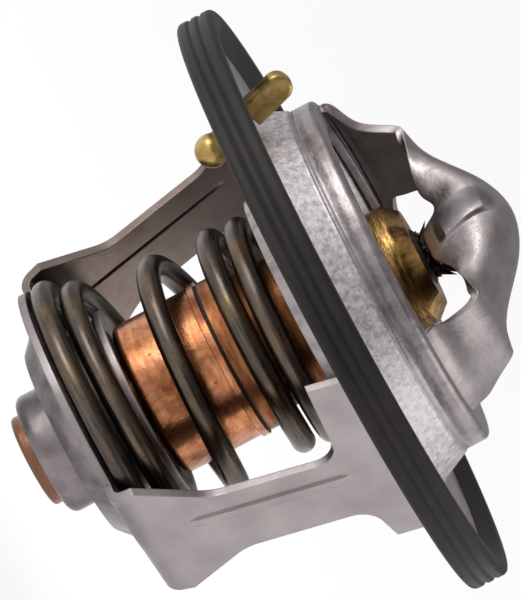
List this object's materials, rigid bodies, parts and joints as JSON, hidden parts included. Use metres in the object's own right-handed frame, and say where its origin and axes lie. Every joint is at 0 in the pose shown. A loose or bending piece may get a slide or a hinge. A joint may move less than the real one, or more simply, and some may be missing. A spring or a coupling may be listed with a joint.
{
  "type": "engine thermostat",
  "caption": "Engine coolant valve: round flange in a ribbed rubber ring, pressed bridge over a brass capped wax element, coil spring and two legged lower frame.",
  "frame": {"origin": "centre of the seal ring, halfway through its height, on the valve axis", "axes": "+Z along the valve axis towards the bridge, +X towards one leg of the bridge and of the lower frame"},
  "size_m": [0.06, 0.06, 0.0512],
  "materials": {
    "stainless": "satin stamped stainless steel",
    "stainless_frame": "satin stamped stainless steel",
    "seal_rubber": "moulded black rubber",
    "spring_steel": "dark drawn spring wire",
    "piston_steel": "ground steel",
    "white_plastic": "plain",
    "inner_rubber": "moulded",
    "skirt_brass": "drawn and notched",
    "cap_brass": "turned",
    "grease": "soft grease",
    "element_copper": "drawn copper",
    "wax": "copper filled wax"
  },
  "bodies": {
    "housing": {"flange_body": "stainless", "seal_ring": "seal_rubber", "lower_frame": "stainless_frame", "spring_guide": "stainless_frame", "main_spring": "spring_steel", "piston": "piston_steel", "backup_plate": "white_plastic", "rubber_plug": "inner_rubber"},
    "valve": {"valve_plate": "stainless", "guide_body": "skirt_brass", "brass_cap": "cap_brass", "piston_wiper": "inner_rubber", "transfer_fluid": "grease", "diaphragm": "inner_rubber", "element_cup": "element_copper", "wax_charge": "wax"},
    "jiggle": {"jiggle_pin": "cap_brass"}
  },
  "joints": [
    {"name": "valve_slide", "type": "slide", "parent": "housing", "child": "valve", "axis": [0, 0, -1], "range_m": [0, 0.007], "stiffness_N_per_m": 7000, "springref_m": -0.01, "deforming": ["main_spring"]},
    {"name": "jiggle_slide", "type": "slide", "parent": "housing", "child": "jiggle", "axis": [-0.1107, -0.2885, 0.9511], "range_m": [0, 0.0016]}
  ]
}
